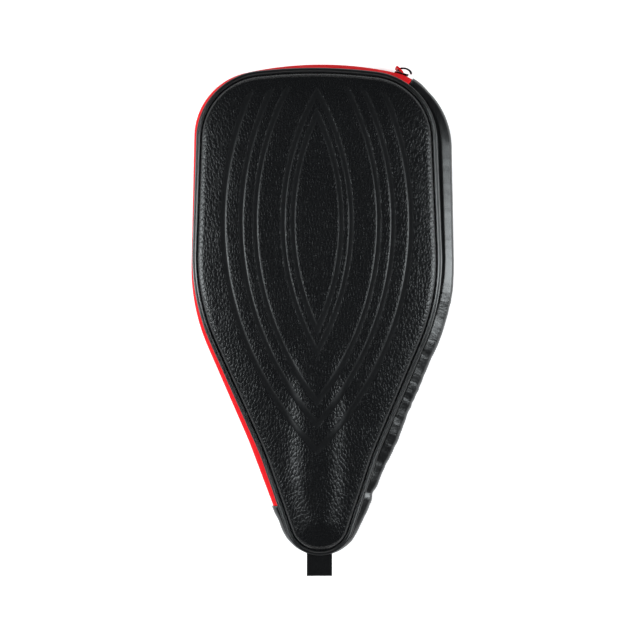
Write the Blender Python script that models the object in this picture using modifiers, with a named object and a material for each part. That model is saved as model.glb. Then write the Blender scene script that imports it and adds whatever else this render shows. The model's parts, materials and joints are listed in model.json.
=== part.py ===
"""Zipped case for a pickleball paddle, lying on its back panel with the head end towards +Y.

Two crowned panels of skin, foam and lining are joined by a side wall. The wall is a zip along the left side
and the top, and a padded gusset along the right side and round the tip. The front panel folds open along the
straight line between the two ends of the zip. Metres, +Z up through the front panel, origin on the back face.
"""

import math

import bmesh
import bpy
from mathutils import Matrix, Vector

mm = 0.001

# Panel edge, as straight lines with rounded corners: x, y and the corner's radius. A concave corner needs no sign.
EDGE_TOP = (0, 216.8 * mm, 450 * mm)
EDGE_SIDE = [
    (102 * mm, 205.4 * mm, 58 * mm),
    (109.3 * mm, 8.8 * mm, 190 * mm),
    (48.3 * mm, -131.5 * mm, 250 * mm),
]
EDGE_TIP = (0, -280.2 * mm, 27 * mm)

# Fullest line of the side wall, half way between the two seams. Its top run is the arc that the slider follows.
ZIP_ARC_CENTRE = Vector((4.5 * mm, -87.3 * mm, 0))
ZIP_ARC_RADIUS = 310 * mm
WALL_LINE = [
    (9.2 * mm, 231.9 * mm, ZIP_ARC_RADIUS),
    (-110.6 * mm, 204.1 * mm, 60 * mm),
    (-115.4 * mm, 1 * mm, 180 * mm),
    (-63 * mm, -121.6 * mm, 250 * mm),
    (-3.8 * mm, -299.4 * mm, 40 * mm),
    (123.3 * mm, 5 * mm, 170 * mm),
    (119 * mm, 203.4 * mm, 50 * mm),
]
ARC_STEP = math.radians(9)
ARC_LENGTH_STEP = 14 * mm

# Heights
THICKNESS = 46 * mm
CROWN = 9 * mm
CROWN_WIDTH = 13 * mm
BACK_SEAM_Z = CROWN
FRONT_SEAM_Z = THICKNESS - CROWN
WALL_MID_Z = THICKNESS / 2

# Layers of a panel and of the gusset
GAP = 0.3 * mm
SKIN = 1.0 * mm
PANEL_FOAM = 3.0 * mm
GUSSET_FOAM = 2.0 * mm
LINING = 0.7 * mm
CROWN_STEPS = 4

# Seams
PIPING_RADIUS = 2.1 * mm
PIPING_OUT = 2.3 * mm
BINDING_INNER = -6.0 * mm
BINDING_OUTER = -1.3 * mm
BINDING_THICKNESS = 1.5 * mm
BINDING_DEPTH = 1.2 * mm

# Side wall between the two pipings
WALL_EDGE_OUT = 3.4 * mm
WALL_HALF_HEIGHT = WALL_MID_Z - BACK_SEAM_Z - PIPING_RADIUS - GAP
WALL_BULGE_POWER = 2.2
WALL_STEPS = 6

# Zip
TAPE = 0.9 * mm
TAPE_HALF_GAP = 0.9 * mm
TAPE_STEPS = 3
COIL_RADIUS = 0.9 * mm
COIL_IN = 2.6 * mm
COIL_OFFSET_Z = 1.9 * mm

# The fold runs between the two points where the ends of the zip meet the panel edge.
FOLD_UPPER = Vector((82 * mm, 199.4 * mm, THICKNESS))
FOLD_LOWER = Vector((-31.3 * mm, -183.5 * mm, THICKNESS))
FOLD_AXIS = (FOLD_UPPER - FOLD_LOWER).normalized()
TO_FLAP = Vector((-FOLD_AXIS.y, FOLD_AXIS.x, 0))
CUTTER_SIZE = 0.8

# Slider, closed against the upper end of the zip
SLIDER_ANGLE = math.radians(13.6)
SLIDER_LENGTH = 11.6 * mm
SLIDER_HALF_WIDTH = 4.2 * mm
PLATE = 1.2 * mm
PLATE_OUT = 0.4 * mm
INNER_PLATE_IN = 5.2 * mm
POST_HALF_WIDTH = 0.5 * mm
POST_LENGTH = 2.6 * mm
FLANGE = 0.9 * mm
FLANGE_TOP_IN = 2.0 * mm
BRIDGE_WIRE = 0.75 * mm
BRIDGE_HALF_LENGTH = 4.55 * mm
BRIDGE_RISE = 4.0 * mm
BRIDGE_SHIFT = 0.8 * mm

# Flat pull, threaded on one leg of the bridge so that it hangs edge on beside the slider
PULL_WIDTH = 7.2 * mm
PULL_LENGTH = 23.6 * mm
PULL_THICKNESS = 1.8 * mm
PULL_HOLE = 1.6 * mm
PULL_PLACE = math.radians(30)

# Webbing loop at the tip
LOOP_WIDTH = 22.6 * mm
LOOP_THICKNESS = 1.5 * mm
LOOP_REACH = 19.5 * mm
LOOP_HALF_GAP = 3.1 * mm
LOOP_Z = 33 * mm
LOOP_START_Y = -224.9 * mm


# ---------------------------------------------------------------------------------------- scene and materials


def clear_scene():
    for item in list(bpy.data.objects):
        bpy.data.objects.remove(item, do_unlink=True)


def collection(name):
    made = bpy.data.collections.new(name)
    bpy.context.scene.collection.children.link(made)
    return made


def material(name, colour, roughness, metallic=0.0):
    made = bpy.data.materials.new(name)
    made.use_nodes = True
    shader = made.node_tree.nodes["Principled BSDF"]
    shader.inputs["Base Color"].default_value = (*colour, 1)
    shader.inputs["Roughness"].default_value = roughness
    shader.inputs["Metallic"].default_value = metallic
    return made


clear_scene()
PARTS = collection("paddle_case")
CUTTERS = collection("cutters")
CUTTERS.hide_render = True

LEATHER = material("black_pebbled_leather", (0.012, 0.012, 0.013), 0.42)
PIPING_LEATHER = material("black_smooth_leather", (0.016, 0.016, 0.017), 0.35)
EVA = material("grey_eva_foam", (0.08, 0.08, 0.085), 0.9)
FLEECE = material("charcoal_fleece", (0.03, 0.03, 0.032), 0.95)
RED_TAPE = material("red_zip_tape", (0.62, 0.012, 0.018), 0.6)
RED_NYLON = material("red_nylon_coil", (0.6, 0.015, 0.02), 0.4)
BLACK_WEBBING = material("black_webbing", (0.01, 0.01, 0.011), 0.8)
BLACK_METAL = material("black_plated_metal", (0.02, 0.02, 0.022), 0.25, 1.0)


def add_object(name, data, finish):
    made = bpy.data.objects.new(name, data)
    PARTS.objects.link(made)
    made.data.materials.clear()
    made.data.materials.append(finish)
    return made


def smooth(item, angle=math.radians(40)):
    item.data.shade_smooth()
    item.data.set_sharp_from_angle(angle=angle)


# --------------------------------------------------------------------------------------------------- outlines


def rounded_outline(corners):
    """Points round a polygon whose corners are arcs, anticlockwise as the corners are given."""
    points = []
    for index, (x, y, radius) in enumerate(corners):
        here = Vector((x, y))
        before = Vector(corners[index - 1][:2]) - here
        after = Vector(corners[(index + 1) % len(corners)][:2]) - here
        half = before.angle(after) / 2
        turn = math.pi - 2 * half
        middle = (before.normalized() + after.normalized()).normalized()
        centre = here + middle * (radius / math.sin(half))
        start = here + before.normalized() * (radius / math.tan(half)) - centre
        side = 1 if before.cross(after) < 0 else -1
        steps = max(2, math.ceil(turn / ARC_STEP), math.ceil(turn * radius / ARC_LENGTH_STEP))
        for step in range(steps + 1):
            points.append(centre + Matrix.Rotation(side * turn * step / steps, 2) @ start)
    return points


def outward_normals(points):
    normals = []
    for index, here in enumerate(points):
        along = (here - points[index - 1]).normalized()
        along += (points[(index + 1) % len(points)] - here).normalized()
        along.normalize()
        normals.append(Vector((along.y, -along.x)))
    return normals


def distance_to_line(start, direction, points):
    """How far along a ray from start a closed line of points lies."""
    found = []
    for index, first in enumerate(points):
        edge = points[(index + 1) % len(points)] - first
        across = direction.cross(edge)
        if abs(across) < 1e-12:
            continue
        along_ray = (first - start).cross(edge) / across
        along_edge = (first - start).cross(direction) / across
        if along_ray > 0 and 0 <= along_edge <= 1:
            found.append(along_ray)
    return min(found)


MIRRORED_SIDE = [(-x, y, radius) for x, y, radius in EDGE_SIDE]
EDGE = rounded_outline([EDGE_TOP, *MIRRORED_SIDE, EDGE_TIP, *reversed(EDGE_SIDE)])
NORMALS = outward_normals(EDGE)
WALL = rounded_outline(WALL_LINE)
WALL_OUT = [distance_to_line(start, normal, WALL) for start, normal in zip(EDGE, NORMALS)]


def ring(outs, z):
    """A closed line round the case, at a height and at given distances outside the panel edge."""
    if not isinstance(outs, list):
        outs = [outs] * len(EDGE)
    return [Vector((*(point + normal * out), z)) for point, normal, out in zip(EDGE, NORMALS, outs)]


# --------------------------------------------------------------------------------------- shells, bands, tubes


def solidified(item, thickness, inside=0.0):
    """Gives a surface its thickness on the inner side, starting at a given distance below the surface."""
    shell = item.modifiers.new("thickness", "SOLIDIFY")
    shell.thickness = thickness
    shell.offset = -1 - 2 * inside / thickness
    shell.use_even_offset = True
    return item


def crowned_panel(name, seam_z, inset, thickness, finish, facing=1):
    """A tray-shaped layer: a flat field with a quarter-ellipse shoulder that falls to the seam."""
    shape = bmesh.new()
    outline = ring(-inset, seam_z)
    face = shape.faces.new([shape.verts.new(point) for point in outline[::facing]])
    across = CROWN_WIDTH - inset
    rise = CROWN - inset
    for step in range(CROWN_STEPS):
        low, high = (math.pi / 2 * part / CROWN_STEPS for part in (step, step + 1))
        shape.normal_update()
        bmesh.ops.inset_region(
            shape,
            faces=[face],
            thickness=across * (math.cos(low) - math.cos(high)),
            depth=rise * (math.sin(high) - math.sin(low)),
            use_boundary=True,
            use_even_offset=True,
        )
    data = bpy.data.meshes.new(name)
    shape.to_mesh(data)
    shape.free()
    item = solidified(add_object(name, data, finish), thickness)
    smooth(item)
    return item


def band(name, rows, thickness, finish, inside=0.0):
    """A closed strip lofted through level rings, from the lowest ring up, with its thickness inside it."""
    shape = bmesh.new()
    lines = [[shape.verts.new(point) for point in row] for row in rows]
    count = len(rows[0])
    for lower, upper in zip(lines, lines[1:]):
        for index in range(count):
            after = (index + 1) % count
            shape.faces.new((lower[index], lower[after], upper[after], upper[index]))
    data = bpy.data.meshes.new(name)
    shape.to_mesh(data)
    shape.free()
    item = solidified(add_object(name, data, finish), thickness, inside)
    smooth(item)
    return item


def wall_rows(low, high, steps):
    """Rings of the bulging side wall between two shares of its half height, from -1 to 1."""
    rows = []
    for step in range(steps + 1):
        share = low + (high - low) * step / steps
        full = 1 - abs(share) ** WALL_BULGE_POWER
        outs = [WALL_EDGE_OUT + (out - WALL_EDGE_OUT) * full for out in WALL_OUT]
        rows.append(ring(outs, WALL_MID_Z + share * WALL_HALF_HEIGHT))
    return rows


def tube(name, points, radius, finish, closed=True, sides=1):
    """A round cord along a line of points, made a mesh so that it can be cut."""
    line = bpy.data.curves.new(name, "CURVE")
    line.dimensions = "3D"
    line.bevel_depth = radius
    line.bevel_resolution = sides
    line.use_fill_caps = True
    spline = line.splines.new("POLY")
    spline.points.add(len(points) - 1)
    for slot, point in zip(spline.points, points):
        slot.co = (*point, 1)
    spline.use_cyclic_u = closed
    guide = bpy.data.objects.new(name + "_line", line)
    bpy.context.scene.collection.objects.link(guide)
    graph = bpy.context.evaluated_depsgraph_get()
    data = bpy.data.meshes.new_from_object(guide.evaluated_get(graph))
    bpy.data.objects.remove(guide)
    shape = bmesh.new()
    shape.from_mesh(data)
    bmesh.ops.remove_doubles(shape, verts=shape.verts, dist=0.01 * mm)
    shape.to_mesh(data)
    shape.free()
    item = add_object(name, data, finish)
    smooth(item)
    return item


def block(name, centre, size, turn, finish=BLACK_METAL, bevel=0.0):
    """A box with its middle, its size and its turn about Z."""
    shape = bmesh.new()
    bmesh.ops.create_cube(shape, size=1)
    bmesh.ops.scale(shape, vec=size, verts=shape.verts)
    if bevel:
        edges = list(shape.edges)
        bmesh.ops.bevel(shape, geom=edges, offset=bevel, segments=1, affect="EDGES")
    data = bpy.data.meshes.new(name)
    shape.to_mesh(data)
    shape.free()
    item = add_object(name, data, finish)
    item.location = centre
    item.rotation_euler = (0, 0, turn)
    return item


# --------------------------------------------------------------------------------------------------- the fold


def fold_cutter(name, away):
    """A box that covers one side of the fold, to within the gap between the two parts of the front panel."""
    cutter = block(name, (0, 0, 0), (CUTTER_SIZE, CUTTER_SIZE * 2, CUTTER_SIZE), 0)
    middle = (FOLD_UPPER + FOLD_LOWER) / 2
    cutter.location = middle + TO_FLAP * away * (CUTTER_SIZE / 2 - GAP)
    cutter.rotation_euler = (0, 0, math.atan2(TO_FLAP.y, TO_FLAP.x))
    PARTS.objects.unlink(cutter)
    CUTTERS.objects.link(cutter)
    cutter.hide_render = True
    cutter.display_type = "WIRE"
    return cutter


FLAP_HALF = fold_cutter("cutter_flap_half", 1)
FIXED_HALF = fold_cutter("cutter_fixed_half", -1)


def keep_side(item, removed):
    cut = item.modifiers.new("fold_cut", "BOOLEAN")
    cut.operation = "DIFFERENCE"
    cut.object = removed
    return item


def on_flap(item):
    return keep_side(item, FIXED_HALF)


def on_fixed(item):
    return keep_side(item, FLAP_HALF)


# --------------------------------------------------------------------------------------------- the two panels

LAYERS = [
    ("skin", 0, SKIN, LEATHER),
    ("foam", SKIN + GAP, PANEL_FOAM, EVA),
    ("lining", SKIN + PANEL_FOAM + 2 * GAP, LINING, FLEECE),
]
flap_parts = []
for layer, inset, thickness, finish in LAYERS:
    crowned_panel("back_" + layer, BACK_SEAM_Z, inset, thickness, finish, facing=-1)
    on_fixed(crowned_panel(f"front_{layer}_fixed", FRONT_SEAM_Z, inset, thickness, finish))
    flap_parts.append(on_flap(crowned_panel(f"front_{layer}_flap", FRONT_SEAM_Z, inset, thickness, finish)))

# ------------------------------------------------------------------------------- piping and binding at the seams


def piping(name, seam_z):
    return tube(name, ring(PIPING_OUT, seam_z), PIPING_RADIUS, PIPING_LEATHER)


def binding(name, low_z):
    """The bias tape that covers the raw edges inside a seam."""
    rows = [ring(BINDING_OUTER, low_z), ring(BINDING_OUTER, low_z + BINDING_THICKNESS)]
    return band(name, rows, BINDING_OUTER - BINDING_INNER, BLACK_WEBBING)


back_binding_z = BACK_SEAM_Z + BINDING_DEPTH
front_binding_z = FRONT_SEAM_Z - BINDING_DEPTH - BINDING_THICKNESS
piping("back_piping", BACK_SEAM_Z)
on_fixed(piping("front_piping_fixed", FRONT_SEAM_Z))
flap_parts.append(on_flap(piping("front_piping_flap", FRONT_SEAM_Z)))
binding("back_seam_binding", back_binding_z)
on_fixed(binding("front_seam_binding_fixed", front_binding_z))
flap_parts.append(on_flap(binding("front_seam_binding_flap", front_binding_z)))

# -------------------------------------------------------------------------------------- gusset, zip tapes, coils

foam_in = SKIN + GAP
lining_in = foam_in + GUSSET_FOAM + GAP
gusset_rows = wall_rows(-1, 1, WALL_STEPS)
on_fixed(band("gusset_skin", gusset_rows, SKIN, LEATHER))
on_fixed(band("gusset_foam", gusset_rows, GUSSET_FOAM, EVA, foam_in))
on_fixed(band("gusset_lining", gusset_rows, LINING, FLEECE, lining_in))

tape_share = TAPE_HALF_GAP / WALL_HALF_HEIGHT
on_flap(band("zip_tape_back", wall_rows(-1, -tape_share, TAPE_STEPS), TAPE, RED_TAPE))
flap_parts.append(on_flap(band("zip_tape_front", wall_rows(tape_share, 1, TAPE_STEPS), TAPE, RED_TAPE)))

coil_outs = [out - COIL_IN for out in WALL_OUT]
on_flap(tube("zip_coil_back", ring(coil_outs, WALL_MID_Z - COIL_OFFSET_Z), COIL_RADIUS, RED_NYLON))
coil_front = tube("zip_coil_front", ring(coil_outs, WALL_MID_Z + COIL_OFFSET_Z), COIL_RADIUS, RED_NYLON)
flap_parts.append(on_flap(coil_front))

# -------------------------------------------------------------------------------------------- slider and bridge

out_here = Vector((math.sin(SLIDER_ANGLE), math.cos(SLIDER_ANGLE), 0))
along_here = Vector((out_here.y, -out_here.x, 0))
slider_middle = ZIP_ARC_CENTRE + out_here * ZIP_ARC_RADIUS + Vector((0, 0, WALL_MID_Z))
slider_turn = -SLIDER_ANGLE


def slider_block(name, along, out, z, size, bevel=0.0):
    centre = slider_middle + along_here * along + out_here * out + Vector((0, 0, z))
    return block(name, centre, size, slider_turn, BLACK_METAL, bevel)


def join_union(item, pieces):
    for piece in pieces:
        PARTS.objects.unlink(piece)
        CUTTERS.objects.link(piece)
        piece.hide_render = True
        piece.display_type = "WIRE"
        joined = item.modifiers.new("join", "BOOLEAN")
        joined.operation = "UNION"
        joined.object = piece


slider = slider_block(
    "zip_slider", 0, PLATE_OUT + PLATE / 2, 0, (SLIDER_LENGTH, PLATE, 2 * SLIDER_HALF_WIDTH), 0.35 * mm
)
inner_top = POST_HALF_WIDTH
inner_width = SLIDER_HALF_WIDTH + inner_top
inner_plate = slider_block(
    "slider_inner_plate",
    0,
    -INNER_PLATE_IN + PLATE / 2,
    inner_top - inner_width / 2,
    (SLIDER_LENGTH * 0.9, PLATE, inner_width),
)
post_height = INNER_PLATE_IN + PLATE_OUT
post = slider_block(
    "slider_post",
    SLIDER_LENGTH * 0.28,
    PLATE_OUT + 0.2 * mm - post_height / 2,
    0,
    (POST_LENGTH, post_height, 2 * POST_HALF_WIDTH - 0.02 * mm),
)
flange_height = INNER_PLATE_IN - FLANGE_TOP_IN
flange = slider_block(
    "slider_flange",
    0,
    -FLANGE_TOP_IN - flange_height / 2 - 0.05 * mm,
    FLANGE / 2 - SLIDER_HALF_WIDTH + 0.01 * mm,
    (SLIDER_LENGTH * 0.88, flange_height - 0.1 * mm, FLANGE),
)
join_union(slider, [inner_plate, post, flange])

bridge_foot = PLATE_OUT + PLATE + GAP + BRIDGE_WIRE


def on_bridge(turn):
    along = BRIDGE_SHIFT - math.cos(turn) * BRIDGE_HALF_LENGTH
    return slider_middle + along_here * along + out_here * (bridge_foot + math.sin(turn) * BRIDGE_RISE)


bridge_points = [on_bridge(math.pi * step / 14) for step in range(15)]
bridge = tube("zip_slider_bridge", bridge_points, BRIDGE_WIRE, BLACK_METAL, closed=False)

# ---------------------------------------------------------------------------------------------------------- pull


def plate_with_hole(name, length, width, hole_radius, thickness, finish):
    """A flat tab with rounded ends that hangs down from a hole at its own origin, its thickness along X."""
    shape = bpy.data.curves.new(name, "CURVE")
    shape.dimensions = "2D"
    shape.fill_mode = "BOTH"
    shape.extrude = thickness / 2
    radius = width / 2
    outer = []
    for middle_y, first in ((0, 0), (2 * radius - length, 180)):
        for step in range(9):
            turn = math.radians(first + 180 * step / 8)
            outer.append((radius * math.cos(turn), middle_y + radius * math.sin(turn)))
    hole = [(hole_radius * math.cos(math.tau * k / 12), hole_radius * math.sin(math.tau * k / 12)) for k in range(12)]
    for line in (outer, hole):
        spline = shape.splines.new("POLY")
        spline.points.add(len(line) - 1)
        for slot, (x, y) in zip(spline.points, line):
            slot.co = (x, y, 0, 1)
        spline.use_cyclic_u = True
    guide = bpy.data.objects.new(name + "_outline", shape)
    bpy.context.scene.collection.objects.link(guide)
    graph = bpy.context.evaluated_depsgraph_get()
    data = bpy.data.meshes.new_from_object(guide.evaluated_get(graph))
    bpy.data.objects.remove(guide)
    solid = bmesh.new()
    solid.from_mesh(data)
    bmesh.ops.remove_doubles(solid, verts=solid.verts, dist=0.01 * mm)
    bmesh.ops.transform(solid, matrix=Matrix.Rotation(math.pi / 2, 4, "X"), verts=solid.verts)
    bmesh.ops.transform(solid, matrix=Matrix.Rotation(math.pi / 2, 4, "Z"), verts=solid.verts)
    solid.to_mesh(data)
    solid.free()
    item = add_object(name, data, finish)
    smooth(item)
    return item


pull_place = on_bridge(PULL_PLACE)
wire_along = math.sin(PULL_PLACE) * BRIDGE_HALF_LENGTH
wire_out = math.cos(PULL_PLACE) * BRIDGE_RISE
wire_way = (along_here * wire_along + out_here * wire_out).normalized()
pull = plate_with_hole("zip_pull", PULL_LENGTH, PULL_WIDTH, PULL_HOLE, PULL_THICKNESS, RED_NYLON)
pull.location = pull_place
pull.rotation_euler = (0, 0, math.atan2(wire_way.y, wire_way.x))

# ------------------------------------------------------------------------------------------------- loop at the tip



def flat_strip(name, profile, thickness, half_width, across, finish):
    """A folded strip of webbing: a line of points swept sideways, then given its thickness inwards."""
    shape = bmesh.new()
    near = [shape.verts.new(point - across * half_width) for point in profile]
    far = [shape.verts.new(point + across * half_width) for point in profile]
    for index in range(len(profile) - 1):
        shape.faces.new((near[index], near[index + 1], far[index + 1], far[index]))
    data = bpy.data.meshes.new(name)
    shape.to_mesh(data)
    shape.free()
    item = solidified(add_object(name, data, finish), thickness)
    smooth(item)
    return item


def folded_profile(start, reach_way, open_way, reach, half_gap, steps, root_gap):
    """The outside of a strip folded in two: out along one leg, round the end, and back along the other."""
    straight = reach - half_gap
    leg = []
    for step in range(steps + 1):
        share = step / steps
        spread = root_gap + (half_gap - root_gap) * math.sin(share * math.pi / 2)
        leg.append((straight * share, spread))
    for degrees in (60, 30, 0):
        turn = math.radians(degrees)
        leg.append((straight + half_gap * math.cos(turn), half_gap * math.sin(turn)))
    upper = [start + reach_way * along + open_way * gap for along, gap in leg]
    lower = [start + reach_way * along - open_way * gap for along, gap in leg[:-1]]
    return upper + lower[::-1]


loop_start = Vector((0, LOOP_START_Y, LOOP_Z))
loop_points = folded_profile(
    loop_start,
    Vector((0, -1, 0)),
    Vector((0, 0, 1)),
    LOOP_REACH,
    LOOP_HALF_GAP + LOOP_THICKNESS,
    4,
    LOOP_THICKNESS + 0.1 * mm,
)
flat_strip("tip_loop", loop_points, LOOP_THICKNESS, LOOP_WIDTH / 2, Vector((1, 0, 0)), BLACK_WEBBING)

# ------------------------------------------------------------------------------------------------ joint pivots


def pivot(name, place, pieces):
    """An empty on a joint's axis, which the pieces that move with the joint hang from."""
    marker = bpy.data.objects.new(name, None)
    PARTS.objects.link(marker)
    marker.location = place
    bpy.context.view_layer.update()
    for piece in pieces:
        piece.parent = marker
        piece.matrix_parent_inverse = marker.matrix_world.inverted()
    return marker


pivot("fold_axis", FOLD_LOWER, flap_parts)
slider_pivot = pivot("zip_arc_axis", ZIP_ARC_CENTRE, [slider, bridge])
pull_pivot = pivot("pull_axis", pull_place, [pull])
pull_pivot.parent = slider_pivot
pull_pivot.matrix_parent_inverse = slider_pivot.matrix_world.inverted()
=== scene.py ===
"""Looks of a zipped, padded leather case for a pickleball paddle, lying on its back panel."""

import json
import math

import bmesh
import bpy
import numpy as np
from mathutils import Matrix, Vector, kdtree, noise


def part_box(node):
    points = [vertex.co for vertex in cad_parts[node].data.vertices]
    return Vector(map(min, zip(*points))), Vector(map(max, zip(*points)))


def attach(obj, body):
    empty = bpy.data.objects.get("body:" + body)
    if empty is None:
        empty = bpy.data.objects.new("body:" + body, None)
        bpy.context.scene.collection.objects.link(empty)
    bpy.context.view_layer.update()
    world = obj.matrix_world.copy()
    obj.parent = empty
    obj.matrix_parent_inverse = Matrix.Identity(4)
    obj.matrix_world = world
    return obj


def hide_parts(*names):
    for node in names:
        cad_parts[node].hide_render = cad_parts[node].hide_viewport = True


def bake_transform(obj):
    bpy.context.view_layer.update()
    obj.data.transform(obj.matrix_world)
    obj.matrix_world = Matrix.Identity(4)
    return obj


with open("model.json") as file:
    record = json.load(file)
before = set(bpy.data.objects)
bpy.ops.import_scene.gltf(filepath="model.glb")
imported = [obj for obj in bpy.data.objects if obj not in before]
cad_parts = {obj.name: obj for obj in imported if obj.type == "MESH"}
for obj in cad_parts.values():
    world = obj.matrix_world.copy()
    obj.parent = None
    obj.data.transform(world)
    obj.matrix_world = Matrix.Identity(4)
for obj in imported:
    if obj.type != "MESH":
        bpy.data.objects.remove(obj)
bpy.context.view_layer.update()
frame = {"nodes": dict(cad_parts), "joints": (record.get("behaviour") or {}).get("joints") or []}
mm = 0.001

# ----------------------------------------
# The pattern that every piece is cut to: a rounded outline, wide at the head and tapering to the handle's
# end, and the fuller line that the side wall follows half way between its two seams. Each corner is a
# place and the radius that rounds it.

EDGE_CORNERS = [
    (0, 216.2 * mm, 450 * mm),
    (-103.4 * mm, 206 * mm, 58 * mm),
    (-110.2 * mm, 8.8 * mm, 190 * mm),
    (-47.4 * mm, -131.5 * mm, 250 * mm),
    (3 * mm, -278.2 * mm, 27 * mm),
    (51.2 * mm, -131.5 * mm, 250 * mm),
    (110.4 * mm, 8.8 * mm, 190 * mm),
    (102.2 * mm, 205 * mm, 58 * mm),
]
WALL_CORNERS = [
    (11.3 * mm, 233.8 * mm, 310 * mm),
    (-111.5 * mm, 204.5 * mm, 60 * mm),
    (-116 * mm, 1 * mm, 180 * mm),
    (-62.6 * mm, -121.6 * mm, 250 * mm),
    (1.2 * mm, -290.5 * mm, 38 * mm),
    (126 * mm, 5 * mm, 170 * mm),
    (122.2 * mm, 202 * mm, 72 * mm),
]
# Points round the edge, down each side of it, and across its head.
EDGE_POINTS = 720
SIDE_POINTS = 240
TOP_POINTS = EDGE_POINTS // 2 - SIDE_POINTS
EDGE_STEP = 1.5 * mm


def rounded_outline(corners):
    """A polygon's outline with its corners rounded to arcs, anticlockwise, in steps of about a degree."""
    points = []
    for index, (x, y, radius) in enumerate(corners):
        here = Vector((x, y))
        before = (Vector(corners[index - 1][:2]) - here).normalized()
        after = (Vector(corners[(index + 1) % len(corners)][:2]) - here).normalized()
        half = before.angle(after) / 2
        turn = math.pi - 2 * half
        centre = here + (before + after).normalized() * (radius / math.sin(half))
        start = here + before * (radius / math.tan(half)) - centre
        side = 1 if before.cross(after) < 0 else -1
        steps = max(3, math.ceil(math.degrees(turn)))
        for step in range(steps + 1):
            points.append(centre + Matrix.Rotation(side * turn * step / steps, 2) @ start)
    return np.array([tuple(point) for point in points])


def evenly_spaced(line, count, start):
    """The same closed line cut into equal lengths, from the place nearest to a start point."""
    first = np.argmin(np.linalg.norm(line - np.array(start), axis=1))
    line = np.roll(line, -first, axis=0)
    closed = np.vstack([line, line[:1]])
    lengths = np.concatenate([[0], np.cumsum(np.linalg.norm(np.diff(closed, axis=0), axis=1))])
    places = np.linspace(0, lengths[-1], count, endpoint=False)
    return np.stack([np.interp(places, lengths, closed[:, axis]) for axis in (0, 1)], axis=1)


def outward_normals(line):
    """The direction that points out of a closed line at each of its points."""
    along = np.roll(line, -1, axis=0) - np.roll(line, 1, axis=0)
    along /= np.linalg.norm(along, axis=1)[:, None]
    return np.stack([along[:, 1], -along[:, 0]], axis=1)


def reach_to(line, starts, directions):
    """How far each start has to go along its direction to meet a closed line."""
    edges = np.roll(line, -1, axis=0) - line
    found = np.full(len(starts), np.inf)
    for index, (start, way) in enumerate(zip(starts, directions)):
        across = way[0] * edges[:, 1] - way[1] * edges[:, 0]
        gap = line - start
        along_way = (gap[:, 0] * edges[:, 1] - gap[:, 1] * edges[:, 0]) / across
        along_edge = (gap[:, 0] * way[1] - gap[:, 1] * way[0]) / across
        hits = along_way[(along_edge >= 0) & (along_edge <= 1) & (along_way > 0)]
        found[index] = hits.min()
    return found


def smooth_step(low, high, value):
    """From 0 at the low value to 1 at the high one, with soft ends."""
    share = np.clip((value - low) / (high - low), 0, 1)
    return share * share * (3 - 2 * share)


EDGE_TOP = (0, 216.8 * mm)
edge = evenly_spaced(rounded_outline(EDGE_CORNERS), EDGE_POINTS, EDGE_TOP)
edge = np.roll(edge, TOP_POINTS // 2, axis=0)
edge_normal = outward_normals(edge)
wall_out = reach_to(rounded_outline(WALL_CORNERS), edge, edge_normal)
edge_tree = kdtree.KDTree(EDGE_POINTS)
for number, point in enumerate(edge):
    edge_tree.insert((*point, 0), number)
edge_tree.balance()


def inside_edge(places):
    """How far each place lies inside the panel edge, and the number of the nearest point of the edge."""
    found = [edge_tree.find((x, y, 0)) for x, y in places]
    nearest = np.array([number for _, number, _ in found])
    away = places - edge[nearest]
    return -np.einsum("ij,ij->i", away, edge_normal[nearest]), nearest


def clear_selection():
    bpy.ops.object.select_all(action="DESELECT")


def points_of(item):
    places = np.empty(len(item.data.vertices) * 3)
    item.data.vertices.foreach_get("co", places)
    return places.reshape(-1, 3)


def set_points(item, places):
    item.data.vertices.foreach_set("co", np.ascontiguousarray(places).ravel())
    item.data.update()


# ----------------------------------------
# Black pebbled leather: pebbles of grain two or three millimetres wide with fine creases between them,
# dyed through, with a satin topcoat. Its colour is painted darker in the creases as shade, with random
# patches of tone over it. A heated die has ironed lines into it.


class Value:
    """A number that varies over a surface, for sums such as 1 - mask * 0.5."""

    def __init__(self, finish, socket):
        self.finish = finish
        self.socket = socket

    def maths(self, operation, *others, first=None):
        terms = [self, *others] if first is None else [first, self]
        return self.finish.node("Math", {"operation": operation}, dict(enumerate(terms)))

    def __add__(self, other):
        return self.maths("ADD", other)

    def __sub__(self, other):
        return self.maths("SUBTRACT", other)

    def __mul__(self, other):
        return self.maths("MULTIPLY", other)

    def __rsub__(self, other):
        return self.maths("SUBTRACT", first=other)

    __radd__ = __add__
    __rmul__ = __mul__


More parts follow.
